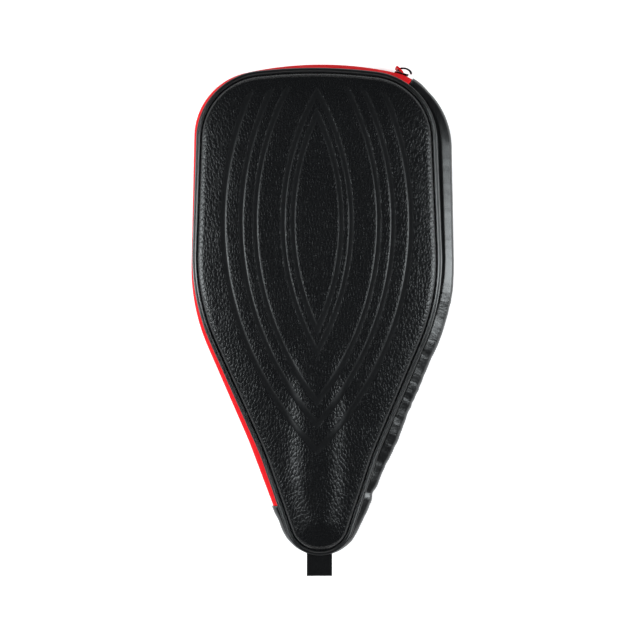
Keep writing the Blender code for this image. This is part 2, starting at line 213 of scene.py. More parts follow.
class Finish:
    """A material under construction."""

    def __init__(self, name, **sockets):
        self.material = bpy.data.materials.new(name)
        self.material.use_nodes = True
        self.tree = self.material.node_tree
        self.shader = self.tree.nodes["Principled BSDF"]
        for label, value in sockets.items():
            self.shader.inputs[label.replace("_", " ")].default_value = value

    def node(self, kind, settings=None, inputs=None, output=0):
        """Adds a node, with its settings first and then the numbers or links of its sockets."""
        made = self.tree.nodes.new("ShaderNode" + kind)
        for label, value in (settings or {}).items():
            if label == "stops":
                for stop, (place, colour) in zip(made.color_ramp.elements, value):
                    stop.position = place
                    stop.color = colour
                for place, colour in value[2:]:
                    made.color_ramp.elements.new(place).color = colour
            else:
                setattr(made, label, value)
        for label, value in (inputs or {}).items():
            self.feed(made.inputs[label], value)
        return Value(self, made.outputs[output])

    def feed(self, socket, value):
        if isinstance(value, Value):
            self.tree.links.new(value.socket, socket)
        else:
            socket.default_value = value

    def surface(self, label, value):
        """Gives the shader a number or something that varies."""
        self.feed(self.shader.inputs[label], value)

    def places(self, source="UV", scale=(1, 1, 1), turn=0.0):
        """Where a point of the surface is, in metres, stretched and turned."""
        start = self.node("TexCoord", output={"UV": 2, "Object": 3}[source])
        return self.node("Mapping", None, {"Vector": start, "Scale": scale, "Rotation": (0, 0, turn)})

    def noise(self, places, scale, detail=2.0, roughness=0.5):
        inputs = {"Vector": places, "Scale": scale, "Detail": detail, "Roughness": roughness}
        return self.node("TexNoise", None, inputs)

    def cells(self, places, scale, feature="F1"):
        return self.node("TexVoronoi", {"feature": feature}, {"Vector": places, "Scale": scale})

    def blend(self, factor, low, high):
        inputs = {0: factor, 6: low, 7: high}
        return self.node("Mix", {"data_type": "RGBA"}, inputs, output=2)

    def bumps(self, *layers):
        """Stacks bumps, each a height from 0 to 1 with its strength and its real depth."""
        normal = None
        for height, strength, depth in layers:
            inputs = {"Height": height, "Strength": strength, "Distance": depth}
            if normal is not None:
                inputs["Normal"] = normal
            normal = self.node("Bump", None, inputs)
        self.surface("Normal", normal)


# Pebbles to the metre, their width as a share of their length, the way that they lean and their depth.
GRAIN = 400.0
PEBBLE_WIDTH = 0.66
GRAIN_LEAN = math.radians(-20)
GRAIN_DEPTH = 0.21 * mm
# The die pressed nested leaves into the front: arcs about one centre, mirrored across the middle. The
# radii are in millimetres.
ARC_CENTRE = (-210 * mm, 78 * mm, 0)
ARC_RADII = (231, 240, 265, 278, 294)
# The section of a line, steep on its inner side and sloped on its outer one: millimetres from the arc,
# the share of the height that is left there, and the share of the grain that isn't ironed flat.
LINE_SECTION = [(-2.2, 1, 1), (-1.3, 1, 0), (-0.8, 0, 0), (0.8, 0, 0), (2.4, 0.45, 0), (4.0, 1, 1)]
ARC_REACH = (225, 300)
# The die pressed less hard in the middle of the panel: to this share, up to the first of these distances.
SOFT_PRESSED = 0.4
FIRM_FROM, FIRM_TO = 8 * mm, 75 * mm
PRESSED_DEPTH = 0.25 * mm


def pebbled_leather(name):
    """Pebbled leather in its flat pattern, smooth and sunk where the die pressed its lines."""
    hide = Finish(name, Specular_IOR_Level=0.36)
    spot = hide.places("UV", (1, PEBBLE_WIDTH, 1), GRAIN_LEAN)
    wander_inputs = {"Vector": spot, "Scale": GRAIN * 0.5, "Detail": 2.0}
    wander = hide.node("TexNoise", None, wander_inputs, output=1)
    bend = hide.node("VectorMath", {"operation": "SCALE"}, {0: wander, "Scale": 0.9 / GRAIN})
    warped = hide.node("VectorMath", {"operation": "ADD"}, {0: spot, 1: bend})
    dome = hide.cells(warped, GRAIN)
    crease = (hide.cells(warped, GRAIN, "DISTANCE_TO_EDGE") * 6.0).maths("MINIMUM", 1.0)

    pattern = hide.places("UV")
    across = hide.node("SeparateXYZ", None, {"Vector": pattern}, output=0).maths("ABSOLUTE")
    along = hide.node("SeparateXYZ", None, {"Vector": pattern}, output=1)
    mirrored = hide.node("CombineXYZ", None, {"X": across, "Y": along})
    out = hide.node("VectorMath", {"operation": "DISTANCE"}, {0: mirrored, 1: ARC_CENTRE}, output=1)
    nearest, furthest = ARC_REACH
    stops = [
        ((radius + aside - nearest) / (furthest - nearest), (height, grain, 0, 1))
        for radius in ARC_RADII
        for aside, height, grain in LINE_SECTION
    ]
    place = (out - nearest * mm) * (1 / ((furthest - nearest) * mm))
    section = hide.node("ValToRGB", {"stops": stops}, {0: place})
    height_left = hide.node("SeparateColor", None, {0: section}, output=0)
    grain_left = hide.node("SeparateColor", None, {0: section}, output=1)
    pressed = hide.node("Attribute", {"attribute_name": "pressed"}, output=2)
    reach = {"Value": across, "From Min": FIRM_FROM, "From Max": FIRM_TO, "To Min": SOFT_PRESSED}
    firmness = hide.node("MapRange", None, reach)
    relief = 1 - (1 - height_left) * pressed * firmness
    grain_left = 1 - (1 - grain_left) * pressed

    patches = hide.noise(spot, 24.0, 3.0)
    fine = hide.noise(spot, GRAIN * 6, 2.0, 0.6)
    # Painted shade: the base colour is darker in the creases between pebbles, with random patches of tone
    # mixed in.
    crease_shade_and_tone = crease * 0.7 + patches * 0.3
    hide.surface("Base Color", hide.blend(crease_shade_and_tone, (0.0022, 0.0023, 0.0026, 1), (0.0058, 0.006, 0.0066, 1)))
    hide.surface("Roughness", 0.32 - crease * grain_left * 0.11 + patches * 0.05)
    grain = (1 - dome * dome * 0.8) * (crease * 0.35 + 0.65) * (grain_left * 0.93 + 0.07)
    hide.bumps((relief, 1.0, PRESSED_DEPTH), (grain, 1.0, GRAIN_DEPTH), (fine, 0.15, 0.03 * mm))
    return hide.material


panel_leather = pebbled_leather("black_pebbled_leather")

# ----------------------------------------
# Front and back panels: crowned trays of leather over EVA foam with a fleece lining. The skin is heat
# moulded, so its edge turns down in a tight shoulder, and the front carries debossed lines. Each is sewn
# into its seam by a tucked edge.

# The heights of the two seams, and the section of a panel inwards from its edge: a tight shoulder, then a
# field that goes on rising gently.
back_seam_z = sum(corner[2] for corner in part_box("back_piping")) / 2
front_seam_z = sum(corner[2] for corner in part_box("front_piping_fixed")) / 2
mid_z = (back_seam_z + front_seam_z) / 2
SHOULDER_WIDTH = 5.2 * mm
SHOULDER_RISE = 5.9 * mm
FIELD_RISE = 3.1 * mm
FIELD_RUN = 55 * mm
SHOULDER_STEPS = [0.1, 0.18, 0.27, 0.36, 0.45, 0.54, 0.62, 0.72, 0.85, 1.1, 1.4, 1.8]
TUCK = 2.4 * mm


def crown_height(inside, inset=0.0):
    """The height of a panel's layer above its seam, at a distance inside the panel's edge."""
    depth = np.clip((inside - inset) / (SHOULDER_WIDTH - inset), 0, 1)
    shoulder = (SHOULDER_RISE - inset * 0.85) * np.sqrt(1 - (1 - depth) ** 2)
    return shoulder + FIELD_RISE * (1 - (1 - np.clip(inside / FIELD_RUN, 0, 1)) ** 2.2)


def panel_mesh(name, inset=0.0, thinned=1):
    """A flat sheet with the panel's outline, in rings along its edge and a grid across its field."""
    clear_selection()
    count = EDGE_POINTS // thinned
    bpy.ops.mesh.primitive_circle_add(vertices=count, radius=0.1, fill_type="NGON")
    sheet = bpy.context.object
    sheet.name = sheet.data.name = name
    outline = (edge - edge_normal * inset)[::thinned]
    set_points(sheet, np.column_stack([outline, np.zeros(count)]))
    bpy.ops.object.mode_set(mode="EDIT")
    bpy.ops.mesh.select_mode(type="FACE")
    bpy.ops.mesh.select_all(action="SELECT")
    for step in SHOULDER_STEPS:
        bpy.ops.mesh.inset(use_boundary=True, use_even_offset=True, thickness=step * mm, depth=0)
    bpy.ops.mesh.delete(type="ONLY_FACE")
    bpy.ops.mesh.select_mode(type="EDGE")
    shape = bmesh.from_edit_mesh(sheet.data)
    shape.verts.ensure_lookup_table()
    inner = []
    for line in shape.edges:
        if len(line.link_faces) == 1 and line.verts[0].index >= count:
            line.select_set(True)
            inner.extend(line.verts)
    corner = min(inner, key=lambda vert: (vert.co.xy - Vector(outline[0])).length)
    shape.select_history.clear()
    shape.select_history.add(corner)
    bmesh.update_edit_mesh(sheet.data)
    bpy.ops.mesh.fill_grid(span=TOP_POINTS // thinned, offset=0)
    bpy.ops.object.mode_set(mode="OBJECT")
    return sheet


def unrolled(places, inside, nearest, inset=0.0):
    """The plan of a layer laid flat, so that a grain keeps its size down the shoulder."""
    fine = np.linspace(0, SHOULDER_WIDTH * 1.5, 200)
    rise = crown_height(fine + inset, inset)
    length = np.concatenate([[0], np.cumsum(np.hypot(np.diff(fine), np.diff(rise)))])
    depth = inside - inset
    extra = (length[-1] - np.interp(depth, fine, length)) - (fine[-1] - np.clip(depth, 0, fine[-1]))
    return places + edge_normal[nearest] * np.where(depth < fine[-1], extra, 0)[:, None]


def set_uv(item, per_point, way_round=None):
    """Gives each point a place in the flat pattern, in metres. The last faces of a ring go on past it."""
    layer = item.data.uv_layers[0] if item.data.uv_layers else item.data.uv_layers.new(name="pattern")
    corners = np.empty(len(item.data.loops), dtype=np.int32)
    item.data.loops.foreach_get("vertex_index", corners)
    flat = per_point[corners]
    if way_round:
        faces = flat[:, 0].reshape(-1, 4)
        closing = faces.max(axis=1) - faces.min(axis=1) > way_round / 2
        faces[closing[:, None] & (faces < way_round / 2)] += way_round
        flat[:, 0] = faces.ravel()
    layer.data.foreach_set("uv", flat.astype(np.float32).ravel())


def set_mark(item, name, values):
    """Gives each point of a mesh a number for its material to read."""
    mark = item.data.attributes.new(name, "FLOAT", "POINT")
    mark.data.foreach_set("value", np.asarray(values, dtype=np.float32))


def soft_waves(places, size, seed):
    """Slow unevenness of hand-made padding, from -1 to 1."""
    return np.array([noise.noise(Vector((x / size, y / size, seed))) for x, y in places])


def give_material(item, material):
    """Makes this the only material of a piece."""
    item.data.materials.clear()
    item.data.materials.append(material)


CHANNEL_WIDTH = 6 * mm
CHANNEL_DEPTH = 0.22 * mm
# The uneven swelling of the padding, and how long its waves are.
SWELL_HEIGHT = 0.35 * mm
SWELL_LENGTH = 38 * mm
# The front stands a little higher over the paddle's handle.
HANDLE_RIDGE = 2.6 * mm
HANDLE_HALF_WIDTH = 21 * mm
HANDLE_FROM, HANDLE_FULL = -10 * mm, -95 * mm
HANDLE_ENDS, HANDLE_END_FULL = -222 * mm, -192 * mm


def channels(places):
    """How deep each place lies in the soft channels that the die leaves in the padding, from 0 to 1."""
    out = np.hypot(np.abs(places[:, 0]) - ARC_CENTRE[0], places[:, 1] - ARC_CENTRE[1])
    return sum(np.exp(-(((out - radius * mm) / (CHANNEL_WIDTH / 2)) ** 2)) for radius in ARC_RADII)


def crowned_skin(name, facing, pressed=0.0, handle_ridge=0.0):
    """The skin of a panel. The pressed lines stop short of its shoulder."""
    sheet = panel_mesh(name)
    places = points_of(sheet)
    inside, nearest = inside_edge(places[:, :2])
    height = crown_height(inside)
    waves = soft_waves(places[:, :2], SWELL_LENGTH, 3.1)
    height += SWELL_HEIGHT * waves * smooth_step(6 * mm, 22 * mm, inside)
    if handle_ridge:
        down = places[:, 1]
        along = smooth_step(HANDLE_FROM, HANDLE_FULL, down)
        along *= smooth_step(HANDLE_ENDS, HANDLE_END_FULL, down)
        across = np.exp(-((places[:, 0] / HANDLE_HALF_WIDTH) ** 4))
        height += handle_ridge * along * across * smooth_step(2 * mm, 24 * mm, inside)
    in_field = pressed * smooth_step(12 * mm, 17 * mm, inside)
    height -= CHANNEL_DEPTH * in_field * channels(places)
    set_mark(sheet, "pressed", in_field)
    flat = unrolled(places[:, :2], inside, nearest)
    if facing > 0:
        places[:, 2] = front_seam_z + height
    else:
        places[:, 2] = back_seam_z - height
    set_points(sheet, places)
    set_uv(sheet, flat)
    return sheet


def tuck_under(sheet, facing):
    """Turns the edge of a skin down into the seam."""
    bpy.context.view_layer.objects.active = sheet
    bpy.ops.object.mode_set(mode="EDIT")
    bpy.ops.mesh.select_mode(type="EDGE")
    bpy.ops.mesh.select_all(action="DESELECT")
    bpy.ops.mesh.select_non_manifold(extend=False)
    bpy.ops.mesh.extrude_edges_move(TRANSFORM_OT_translate={"value": (0, 0, -facing * TUCK)})
    if facing < 0:
        bpy.ops.mesh.select_all(action="SELECT")
        bpy.ops.mesh.flip_normals()
    bpy.ops.object.mode_set(mode="OBJECT")
    sheet.data.shade_smooth()


# The fold of the front panel runs straight from one end of the zip to the other.
fold = next(joint for joint in frame["joints"] if joint["name"] == "front_panel_fold")
fold_at = Vector(fold["pos_m"])
fold_way = Vector(fold["axis"]).normalized()
to_flap = Vector((-fold_way.y, fold_way.x, 0))


def bends_with_flap(piece):
    """Bakes the placement of a piece of the front into its points; the piece does not bend."""
    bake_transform(piece)


front_skin = crowned_skin("front_panel_skin", 1, 1.0, HANDLE_RIDGE)
tuck_under(front_skin, 1)
give_material(front_skin, panel_leather)
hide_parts("front_skin_fixed", "front_skin_flap")
bends_with_flap(front_skin)

back_skin = crowned_skin("back_panel_skin", -1)
# The back lies flat on the floor.
back_places = points_of(back_skin)
back_places[:, 2] = np.maximum(back_places[:, 2], 0)
set_points(back_skin, back_places)
tuck_under(back_skin, -1)
give_material(back_skin, panel_leather)
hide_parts("back_skin")
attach(back_skin, "case")

# ----------------------------------------
# Foam and lining of the panels: 3 mm closed-cell foam laminated to charcoal brushed fleece. The layers
# lie one inside the other under the skin, and the seam holds their edges.


def fleece(name):
    """Short brushed pile that leans one way."""
    pile = Finish(name, Roughness=0.95, Sheen_Weight=0.6, Sheen_Roughness=0.4)
    tufts = pile.noise(pile.places(), 900.0, 4.0, 0.7)
    brushed = pile.noise(pile.places("UV", (1, 0.25, 1)), 700.0, 3.0, 0.6)
    shade = tufts * 0.6 + brushed * 0.4
    pile.surface("Base Color", pile.blend(shade, (0.018, 0.018, 0.02, 1), (0.05, 0.05, 0.054, 1)))
    pile.bumps((tufts, 0.8, 0.4 * mm), (brushed, 0.5, 0.3 * mm))
    return pile.material


def foam(name):
    """Grey foam with fine closed bubbles."""
    block = Finish(name, Roughness=0.85)
    bubbles = block.cells(block.places(), 1600.0)
    block.surface("Base Color", block.blend(bubbles, (0.05, 0.05, 0.054, 1), (0.09, 0.09, 0.095, 1)))
    block.bumps((bubbles, 0.4, 0.15 * mm))
    return block.material


lining_fleece = fleece("charcoal_fleece")
panel_foam = foam("grey_eva_foam")
SKIN = 1.0 * mm
FOAM = 3.0 * mm
LINING = 0.7 * mm
LAYER_GAP = 0.3 * mm


def panel_layer(name, facing, inset, thickness, material):
    """A layer of a panel, as far inside the skin as its inset."""
    sheet = panel_mesh(name, inset, thinned=2)
    places = points_of(sheet)
    inside, nearest = inside_edge(places[:, :2])
    flat = unrolled(places[:, :2], inside, nearest, inset)
    height = crown_height(inside, inset) - inset * 0.15
    height -= 0.4 * FIELD_RISE * smooth_step(0, FIELD_RUN, inside)
    seam = front_seam_z if facing > 0 else back_seam_z
    places[:, 2] = seam + facing * height
    set_points(sheet, places)
    set_uv(sheet, flat)
    bpy.context.view_layer.objects.active = sheet
    if facing < 0:
        bpy.ops.object.mode_set(mode="EDIT")
        bpy.ops.mesh.select_all(action="SELECT")
        bpy.ops.mesh.flip_normals()
        bpy.ops.object.mode_set(mode="OBJECT")
    shell = sheet.modifiers.new("thickness", "SOLIDIFY")
    shell.thickness = thickness
    shell.offset = -1
    bpy.ops.object.modifier_apply(modifier=shell.name)
    sheet.data.shade_smooth()
    give_material(sheet, material)
    return sheet


foam_inset = SKIN + LAYER_GAP
lining_inset = foam_inset + FOAM + LAYER_GAP
front_foam = panel_layer("front_panel_foam", 1, foam_inset, FOAM, panel_foam)
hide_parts("front_foam_fixed", "front_foam_flap")
bends_with_flap(front_foam)
front_lining = panel_layer("front_panel_lining", 1, lining_inset, LINING, lining_fleece)
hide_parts("front_lining_fixed", "front_lining_flap")
bends_with_flap(front_lining)
back_foam = panel_layer("back_panel_foam", -1, foam_inset, FOAM, panel_foam)
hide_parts("back_foam")
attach(back_foam, "case")
back_lining = panel_layer("back_panel_lining", -1, lining_inset, LINING, lining_fleece)
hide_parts("back_lining")
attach(back_lining, "case")

# ----------------------------------------
# Twin-welt piping: two thin cords side by side in one strip of smooth leather, stitched down between
# them, sewn into each seam with a raised flange towards the panel.


def smooth_leather(name):
    """Thin glossy leather with faint creases and pores."""
    hide = Finish(name, Specular_IOR_Level=0.75)
    spot = hide.places()
    pores = hide.noise(spot, 1400.0, 3.0, 0.6)
    creases = hide.noise(spot, 240.0, 3.0, 0.55)
    colours = (0.0035, 0.0035, 0.0038, 1), (0.007, 0.007, 0.0076, 1)
    hide.surface("Base Color", hide.blend(creases, *colours))
    hide.surface("Roughness", 0.25 + creases * 0.12)
    hide.bumps((creases, 0.25, 0.2 * mm), (pores, 0.35, 0.06 * mm))
    return hide.material


welt_leather = smooth_leather("black_welt_leather")
CORD = 1.15 * mm
CORD_INNER_OUT = 1.35 * mm
CORD_OUTER_OUT = 3.75 * mm
PROFILE_STEPS = 7


def welt_profile():
    """The section of a twin welt, from the panel side over both cords to the gusset side: out, height."""
    profile = [(0.1 * mm, -1.6 * mm)]
    for out, first, last in ((CORD_INNER_OUT, 190, 25), (CORD_OUTER_OUT, 155, -10)):
        for degrees in np.linspace(first, last, PROFILE_STEPS):
            turn = math.radians(degrees)
            profile.append((out + CORD * math.cos(turn), CORD * math.sin(turn)))
    profile.append((CORD_OUTER_OUT + CORD * 0.75, -1.7 * mm))
    profile.append((CORD_INNER_OUT, -1.9 * mm))
    return np.array(profile)


def loft(name, rows, closed_rows=True, closed_line=True):
    """A surface through rows of points. Each row is a closed or open line round the case."""
    shape = bmesh.new()
    lines = [[shape.verts.new(point) for point in row] for row in rows]
    pairs = list(zip(lines, lines[1:])) + ([(lines[-1], lines[0])] if closed_rows else [])
    count = len(rows[0])
    for first, second in pairs:
        for index in range(count if closed_line else count - 1):
            after = (index + 1) % count
            shape.faces.new((first[index], first[after], second[after], second[index]))
    data = bpy.data.meshes.new(name)
    shape.to_mesh(data)
    shape.free()
    item = bpy.data.objects.new(name, data)
    bpy.context.scene.collection.objects.link(item)
    item.data.shade_smooth()
    return item


def lengths_along(line):
    """How far each point is from the first one, along the line."""
    return np.cumsum(np.concatenate([[0], np.linalg.norm(np.diff(line, axis=0), axis=1)]))


def sweep_on_edge(name, profile, seam_z, facing):
    """A section, as places out from the panel's edge and up from its seam, taken round the whole edge."""
    rows = []
    for out, rise in profile[::facing]:
        ring = edge + edge_normal * out
        rows.append(np.column_stack([ring, np.full(EDGE_POINTS, seam_z + facing * rise)]))
    item = loft(name, rows[::-1])
    along = lengths_along(edge)
    around = lengths_along(profile)[::-1]
    flat = [(length, turn) for turn in around for length in along]
    set_uv(item, np.array(flat), along[-1])
    return item


front_piping = sweep_on_edge("front_twin_welt", welt_profile(), front_seam_z, 1)
give_material(front_piping, welt_leather)
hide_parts("front_piping_fixed", "front_piping_flap")
bends_with_flap(front_piping)
back_piping = sweep_on_edge("back_twin_welt", welt_profile(), back_seam_z, -1)
give_material(back_piping, welt_leather)
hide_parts("back_piping")
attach(back_piping, "case")

# ----------------------------------------
# Padded gusset: one strip of smooth black leather over thin foam and fleece, from the upper end of the
# zip down the right side and round the tip. It is longer than its seams, so it puckers along the taper.


def slack_leather(name):
    """Smooth leather, taut and glossy round the head, duller and finely wrinkled where it is slack."""
    hide = Finish(name, Specular_IOR_Level=0.55)
    spot = hide.places("UV")
    loose = hide.node("Attribute", {"attribute_name": "slack"}, output=2)
    fine = hide.noise(spot, 1400.0, 3.0, 0.6)
    creases = hide.noise(spot, 240.0, 3.0, 0.55)
    wrinkles = hide.noise(hide.places("UV", (1, 0.35, 1)), 430.0, 4.0, 0.55)
    gathered = hide.noise(spot, 45.0, 2.0)
    colours = (0.0035, 0.0035, 0.0038, 1), (0.0075, 0.0075, 0.008, 1)
    hide.surface("Base Color", hide.blend(creases, *colours))
    hide.surface("Roughness", 0.19 + creases * 0.1 + loose * 0.05)
    hide.bumps(
        (creases, 0.25, 0.2 * mm),
        (wrinkles * (loose * gathered * 1.3 + 0.05), 1.0, 0.34 * mm),
        (fine, 0.35, 0.06 * mm),
    )
    return hide.material


gusset_leather = slack_leather("black_gusset_leather")
# The side wall starts this far out from the panel's edge, and is this high to each side of its middle.
WALL_EDGE_OUT = 3.2 * mm
WALL_HALF = mid_z - back_seam_z - 0.6 * mm
on_gusset = (edge - np.array(fold_at.xy)) @ np.array(to_flap.xy) < 0.9 * mm
first_on_gusset = next(k for k in range(EDGE_POINTS) if on_gusset[k] and not on_gusset[k - 1])
order = [(first_on_gusset + k) % EDGE_POINTS for k in range(EDGE_POINTS)]
gusset_run = [k for k in order if on_gusset[k]]
zip_run = [k for k in order if not on_gusset[k]]


def wall_point(k, share, lift=0.0):
    """A point of the side wall beside point k of the edge, at a share of the half height, with a lift."""
    full = (1 - abs(share) ** 2.2) ** 0.85
    out = WALL_EDGE_OUT + (wall_out[k] - WALL_EDGE_OUT) * full + lift
    place = edge[k] + edge_normal[k] * out
    return (*place, mid_z + share * WALL_HALF)


# The section of the padded strip: from under the front welt it dips, rolls over to its fullest line low
# on the side, and tucks in to the back welt. Each pair is a share of the way out and a height from the
# middle in millimetres.
GUSSET_SECTION = [
    (0.00, 11.7), (0.07, 9.2), (0.20, 8.3), (0.34, 8.8), (0.50, 8.2),
    (0.66, 7.1), (0.81, 5.8), (0.92, 4.0), (0.99, 1.2), (1.00, -2.0),
    (0.97, -5.2), (0.86, -8.2), (0.64, -10.2), (0.34, -11.3), (0.00, -11.9),
]
SECTION_STEPS = 40
# How wide the strip stands out on average, in millimetres.
TYPICAL_WIDTH = 14


def smooth_through(knots, count):
    """Evenly spaced places on a smooth line through knots, by a Catmull-Rom spline."""
    knots = np.array(knots, dtype=float)
    padded = np.vstack([2 * knots[0] - knots[1], knots, 2 * knots[-1] - knots[-2]])
    fine = []
    for index in range(1, len(padded) - 2):
        a, b, c, d = padded[index - 1 : index + 3]
        square, cube = 2 * a - 5 * b + 4 * c - d, 3 * b - a - 3 * c + d
        for t in np.linspace(0, 1, 12, endpoint=False):
            fine.append(0.5 * (2 * b + (c - a) * t + square * t**2 + cube * t**3))
    fine = np.array([*fine, knots[-1]])
    lengths = lengths_along(fine * [TYPICAL_WIDTH, 1])
    wanted = np.linspace(0, lengths[-1], count)
    return np.column_stack([np.interp(wanted, lengths, fine[:, axis]) for axis in (0, 1)])


gusset_section = smooth_through(GUSSET_SECTION, SECTION_STEPS + 1)
section_along = np.gradient(gusset_section, axis=0) * [TYPICAL_WIDTH, 1]
section_out = np.column_stack([-section_along[:, 1], section_along[:, 0]])
section_out /= np.linalg.norm(section_out, axis=1)[:, None]


TAUT = 0.15
SLACK_FROM, SLACK_FULL = 50 * mm, -20 * mm
SLACK_ENDS, SLACK_END_FULL = -214 * mm, -190 * mm


def slack(k):
    """How loose the strip is beside point k of the edge: tight round the head, loose along the taper."""
    x, y = edge[k]
    if x < 0:
        return TAUT
    loose = smooth_step(SLACK_FROM, SLACK_FULL, y) * smooth_step(SLACK_ENDS, SLACK_END_FULL, y)
    return TAUT + (1 - TAUT) * float(loose)


# The strip's short folds, the ridges between them and its slow swells: how far each stands out and how
# long it is along the strip, in millimetres. One sharp pinch sits near the tip.
FOLD, FOLD_LENGTH = 0.35, 6.0
RIDGE, RIDGE_LENGTH = 0.4, 10.0
SWELL, SWELL_RUN = 1.3, 30.0
PINCH = 1.6
PINCH_AT, PINCH_LENGTH = -166 * mm, 4 * mm


def pucker(k, step):
    """How far the slack leather stands out or in, at a step of its section beside point k of the edge."""
    along = k * EDGE_STEP / mm
    across = step / SECTION_STEPS
    body = math.sin(math.pi * across) ** 0.5
    fold = noise.noise(Vector((along / FOLD_LENGTH, across * 1.6, 1.7)))
    ridge = 1 - 2 * abs(noise.noise(Vector((along / RIDGE_LENGTH + across * 1.1, across * 1.4, 8.2))))
    swell = noise.noise(Vector((along / SWELL_RUN, across, 4.4)))
    x, y = edge[k]
    pinch = -PINCH * math.exp(-(((y - PINCH_AT) / PINCH_LENGTH) ** 2)) if x > 0 else 0
    return body * (slack(k) * (FOLD * fold + RIDGE * (ridge - 0.6) + SWELL * swell) + pinch) * mm


# Each end of the strip laps over the end of the zip, so it reaches one point further and stands off it.
gusset_run = [(gusset_run[0] - 1) % EDGE_POINTS, *gusset_run, (gusset_run[-1] + 1) % EDGE_POINTS]
END_LIFT = 1.1 * mm
END_LIFT_FULL, END_LIFT_ENDS = 4 * mm, 16 * mm
STRIP_EDGE_OUT = 3 * mm
STRIP_FULLER = 0.4 * mm
# Inner layers are the outer side's section drawn in towards this height, from this distance.
SECTION_CENTRE = -1.5
SECTION_RADIUS = 13 * mm


def gusset_line(step, depth):
    """One line of the strip along the case, at a depth under its outer side."""
    share, rise = gusset_section[step]
    kept = 1 - depth / SECTION_RADIUS
    bulge = math.sin(math.pi * step / SECTION_STEPS) ** 0.4
    line = []
    for number, k in enumerate(gusset_run):
        from_end = min(number, len(gusset_run) - 1 - number) * EDGE_STEP
        lift = END_LIFT * (1 - float(smooth_step(END_LIFT_FULL, END_LIFT_ENDS, from_end))) * bulge
        push = pucker(k, step) + lift
        fall = 1 + 0.6 * (slack(k) - TAUT)
        width = wall_out[k] + STRIP_FULLER - STRIP_EDGE_OUT
        out = STRIP_EDGE_OUT + share**fall * kept * width + section_out[step][0] * push
        height = (SECTION_CENTRE + (rise - SECTION_CENTRE) * kept) * mm + section_out[step][1] * push
        line.append((*(edge[k] + edge_normal[k] * out), mid_z + height))
    return line


def strip_pattern(rows, row_step):
    """The places of a strip's points when it lies flat."""
    columns = range(len(rows[0]))
    return np.array([(n * EDGE_STEP, row * row_step) for row in range(len(rows)) for n in columns])


def gusset_layer(name, depth, thickness, material, node):
    """One layer of the strip: its outer side, its inner side and their edges, closed at both ends."""
    steps = range(SECTION_STEPS, -1, -1)
    rows = [gusset_line(step, depth) for step in steps]
    rows += [gusset_line(step, depth + thickness) for step in reversed(steps)]
    item = loft(name, rows, closed_line=False)
    set_uv(item, strip_pattern(rows, 1.1 * mm))
    set_mark(item, "slack", [slack(k) for _ in rows for k in gusset_run])
    clear_selection()
    item.select_set(True)
    bpy.context.view_layer.objects.active = item
    bpy.ops.object.mode_set(mode="EDIT")
    bpy.ops.mesh.select_mode(type="EDGE")
    bpy.ops.mesh.select_all(action="DESELECT")
    bpy.ops.mesh.select_non_manifold(extend=False)
    bpy.ops.mesh.fill_holes(sides=0)
    bpy.ops.object.mode_set(mode="OBJECT")
    give_material(item, material)
    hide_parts(node)
    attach(item, "case")
    return item


gusset = gusset_layer("gusset_skin_padded", 0, SKIN, gusset_leather, "gusset_skin")
GUSSET_FOAM = FOAM * 0.8
gusset_foam = gusset_layer("gusset_foam_strip", foam_inset, GUSSET_FOAM, panel_foam, "gusset_foam")
under_foam = foam_inset + GUSSET_FOAM + LAYER_GAP
gusset_lining = gusset_layer("gusset_lining_strip", under_foam, LINING, lining_fleece, "gusset_lining")

# ----------------------------------------
# Zip: two red polyester tapes with a nylon coil sewn on the inner side of each, so that only the woven
# tape shows and the two edges meet in a fine line over the teeth.


def woven_tape(name):
    """Matt twill with fine ribs across the tape."""
    cloth = Finish(name, Specular_IOR_Level=0.06)
    spot = cloth.places()
    ribs = cloth.node("TexWave", {"bands_direction": "X"}, {"Vector": spot, "Scale": 300.0})
    twill_inputs = {"Vector": spot, "Scale": 420.0, "Distortion": 0.6}
    twill = cloth.node("TexWave", {"bands_direction": "DIAGONAL"}, twill_inputs)
    fuzz = cloth.noise(spot, 1800.0, 2.0)
    weave = ribs * 0.35 + twill * 0.4 + fuzz * 0.25
    cloth.surface("Base Color", cloth.blend(weave, (0.5, 0.004, 0.007, 1), (0.86, 0.010, 0.016, 1)))
    cloth.surface("Roughness", 0.6 + fuzz * 0.2)
    cloth.bumps((weave, 0.5, 0.12 * mm))
    return cloth.material


red_tape = woven_tape("red_zip_tape")
TAPE_ROWS = 12
TAPE_GAP = 0.35 * mm
TAPE = 0.8 * mm
# The stitching that holds the coil's tape pulls it in along a line near the seam.
STITCHED_AT, STITCHED_WIDTH = 0.86, 0.03
STITCHED_DEPTH = 0.35 * mm


def zip_tape(name, side):
    """One tape, from the slit between the tapes to its seam, with the folded edge rolled in."""
    slit = TAPE_GAP / WALL_HALF
    shares = [side * (slit + (1 - slit) * step / TAPE_ROWS) for step in range(TAPE_ROWS + 1)]
    rolled = [(shares[0], -1.2 * mm), (shares[0], -0.45 * mm), (shares[0] + side * 0.02, -0.12 * mm)]
    rows = [[wall_point(k, share, lift) for k in zip_run] for share, lift in rolled]
    for share in shares[1:]:
        dip = -STITCHED_DEPTH * math.exp(-(((abs(share) - STITCHED_AT) / STITCHED_WIDTH) ** 2))
        rows.append([wall_point(k, share, dip) for k in zip_run])
    if side < 0:
        rows = rows[::-1]
    item = loft(name, rows, closed_rows=False, closed_line=False)
    set_uv(item, strip_pattern(rows, 1.2 * mm))
    bpy.context.view_layer.objects.active = item
    shell = item.modifiers.new("cloth", "SOLIDIFY")
    shell.thickness = TAPE
    shell.offset = -1
    bpy.ops.object.modifier_apply(modifier=shell.name)
    give_material(item, red_tape)
    return item


front_tape = zip_tape("zip_tape_upper", 1)
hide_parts("zip_tape_front")
bends_with_flap(front_tape)
back_tape = zip_tape("zip_tape_lower", -1)
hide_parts("zip_tape_back")
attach(back_tape, "case")

